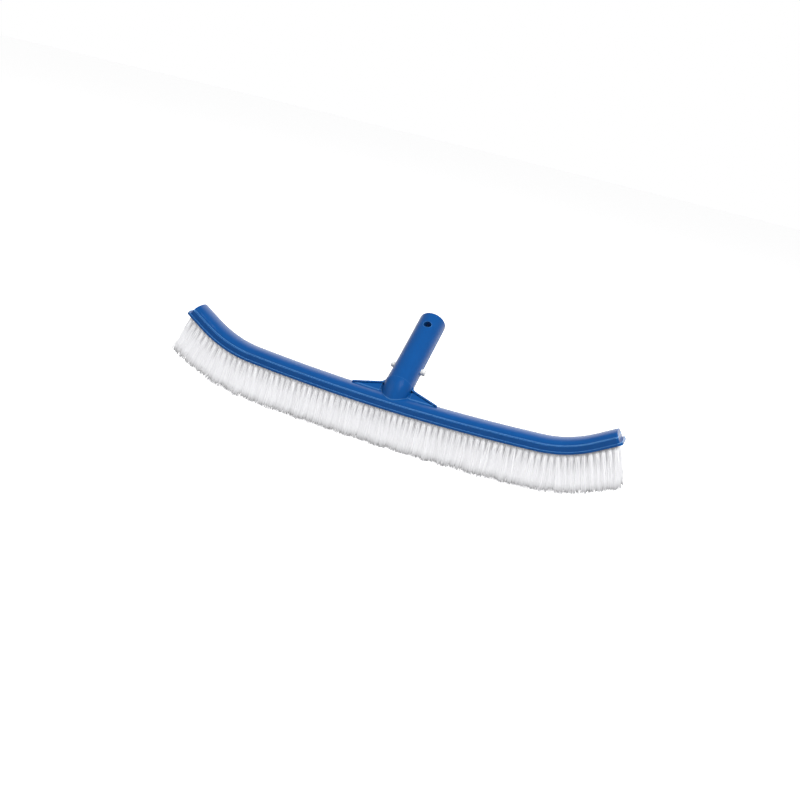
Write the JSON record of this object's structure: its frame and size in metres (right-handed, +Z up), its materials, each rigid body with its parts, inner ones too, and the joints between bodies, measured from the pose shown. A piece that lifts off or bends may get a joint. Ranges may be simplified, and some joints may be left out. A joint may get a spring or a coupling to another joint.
{
  "type": "pool wall brush",
  "caption": "Wide curved brush for pool walls with a leaning round handle that locks into a telescopic pole by a spring clip with two side buttons.",
  "frame": {"origin": "under the middle of the bounding box, on the plane of the bristle tips", "axes": "+X along the bar, +Y to the side that the handle leans to, +Z up and away from the bristles"},
  "size_m": [0.4664, 0.1133, 0.1252],
  "materials": {
    "blue_plastic": "glossy moulded plastic",
    "clip_plastic": "satin white nylon",
    "bristles": "translucent white filament",
    "steel": "plain stainless steel"
  },
  "bodies": {
    "brush": {"bristle_block": "blue_plastic", "back_shell": "blue_plastic", "handle": "blue_plastic", "clip_bridge": "clip_plastic", "block_screws": "steel", "handle_screws": "steel", "tufts_row1_left": "bristles", "tufts_row1_centre": "bristles", "tufts_row1_right": "bristles", "tufts_row2_left": "bristles", "tufts_row2_centre": "bristles", "tufts_row2_right": "bristles", "tufts_row3_left": "bristles", "tufts_row3_centre": "bristles", "tufts_row3_right": "bristles", "tufts_row4_left": "bristles", "tufts_row4_centre": "bristles", "tufts_row4_right": "bristles", "tufts_row5_left": "bristles", "tufts_row5_centre": "bristles", "tufts_row5_right": "bristles", "staples_row1": "steel", "staples_row2": "steel", "staples_row3": "steel", "staples_row4": "steel", "staples_row5": "steel"},
    "left_leg": {"clip_leg_left": "clip_plastic"},
    "right_leg": {"clip_leg_right": "clip_plastic"}
  },
  "joints": [
    {"name": "left_button", "type": "hinge", "parent": "brush", "child": "left_leg", "pos_m": [-0.0052, 0.025, 0.0972], "axis": [0, -0.5807, 0.8141], "range_deg": [0, 5.8], "stiffness_Nm_per_rad": 1.5, "springref_deg": -1.72},
    {"name": "right_button", "type": "hinge", "parent": "brush", "child": "right_leg", "pos_m": [0.0052, 0.025, 0.0972], "axis": [0, 0.5807, -0.8141], "range_deg": [0, 5.8], "stiffness_Nm_per_rad": 1.5, "springref_deg": -1.72}
  ]
}
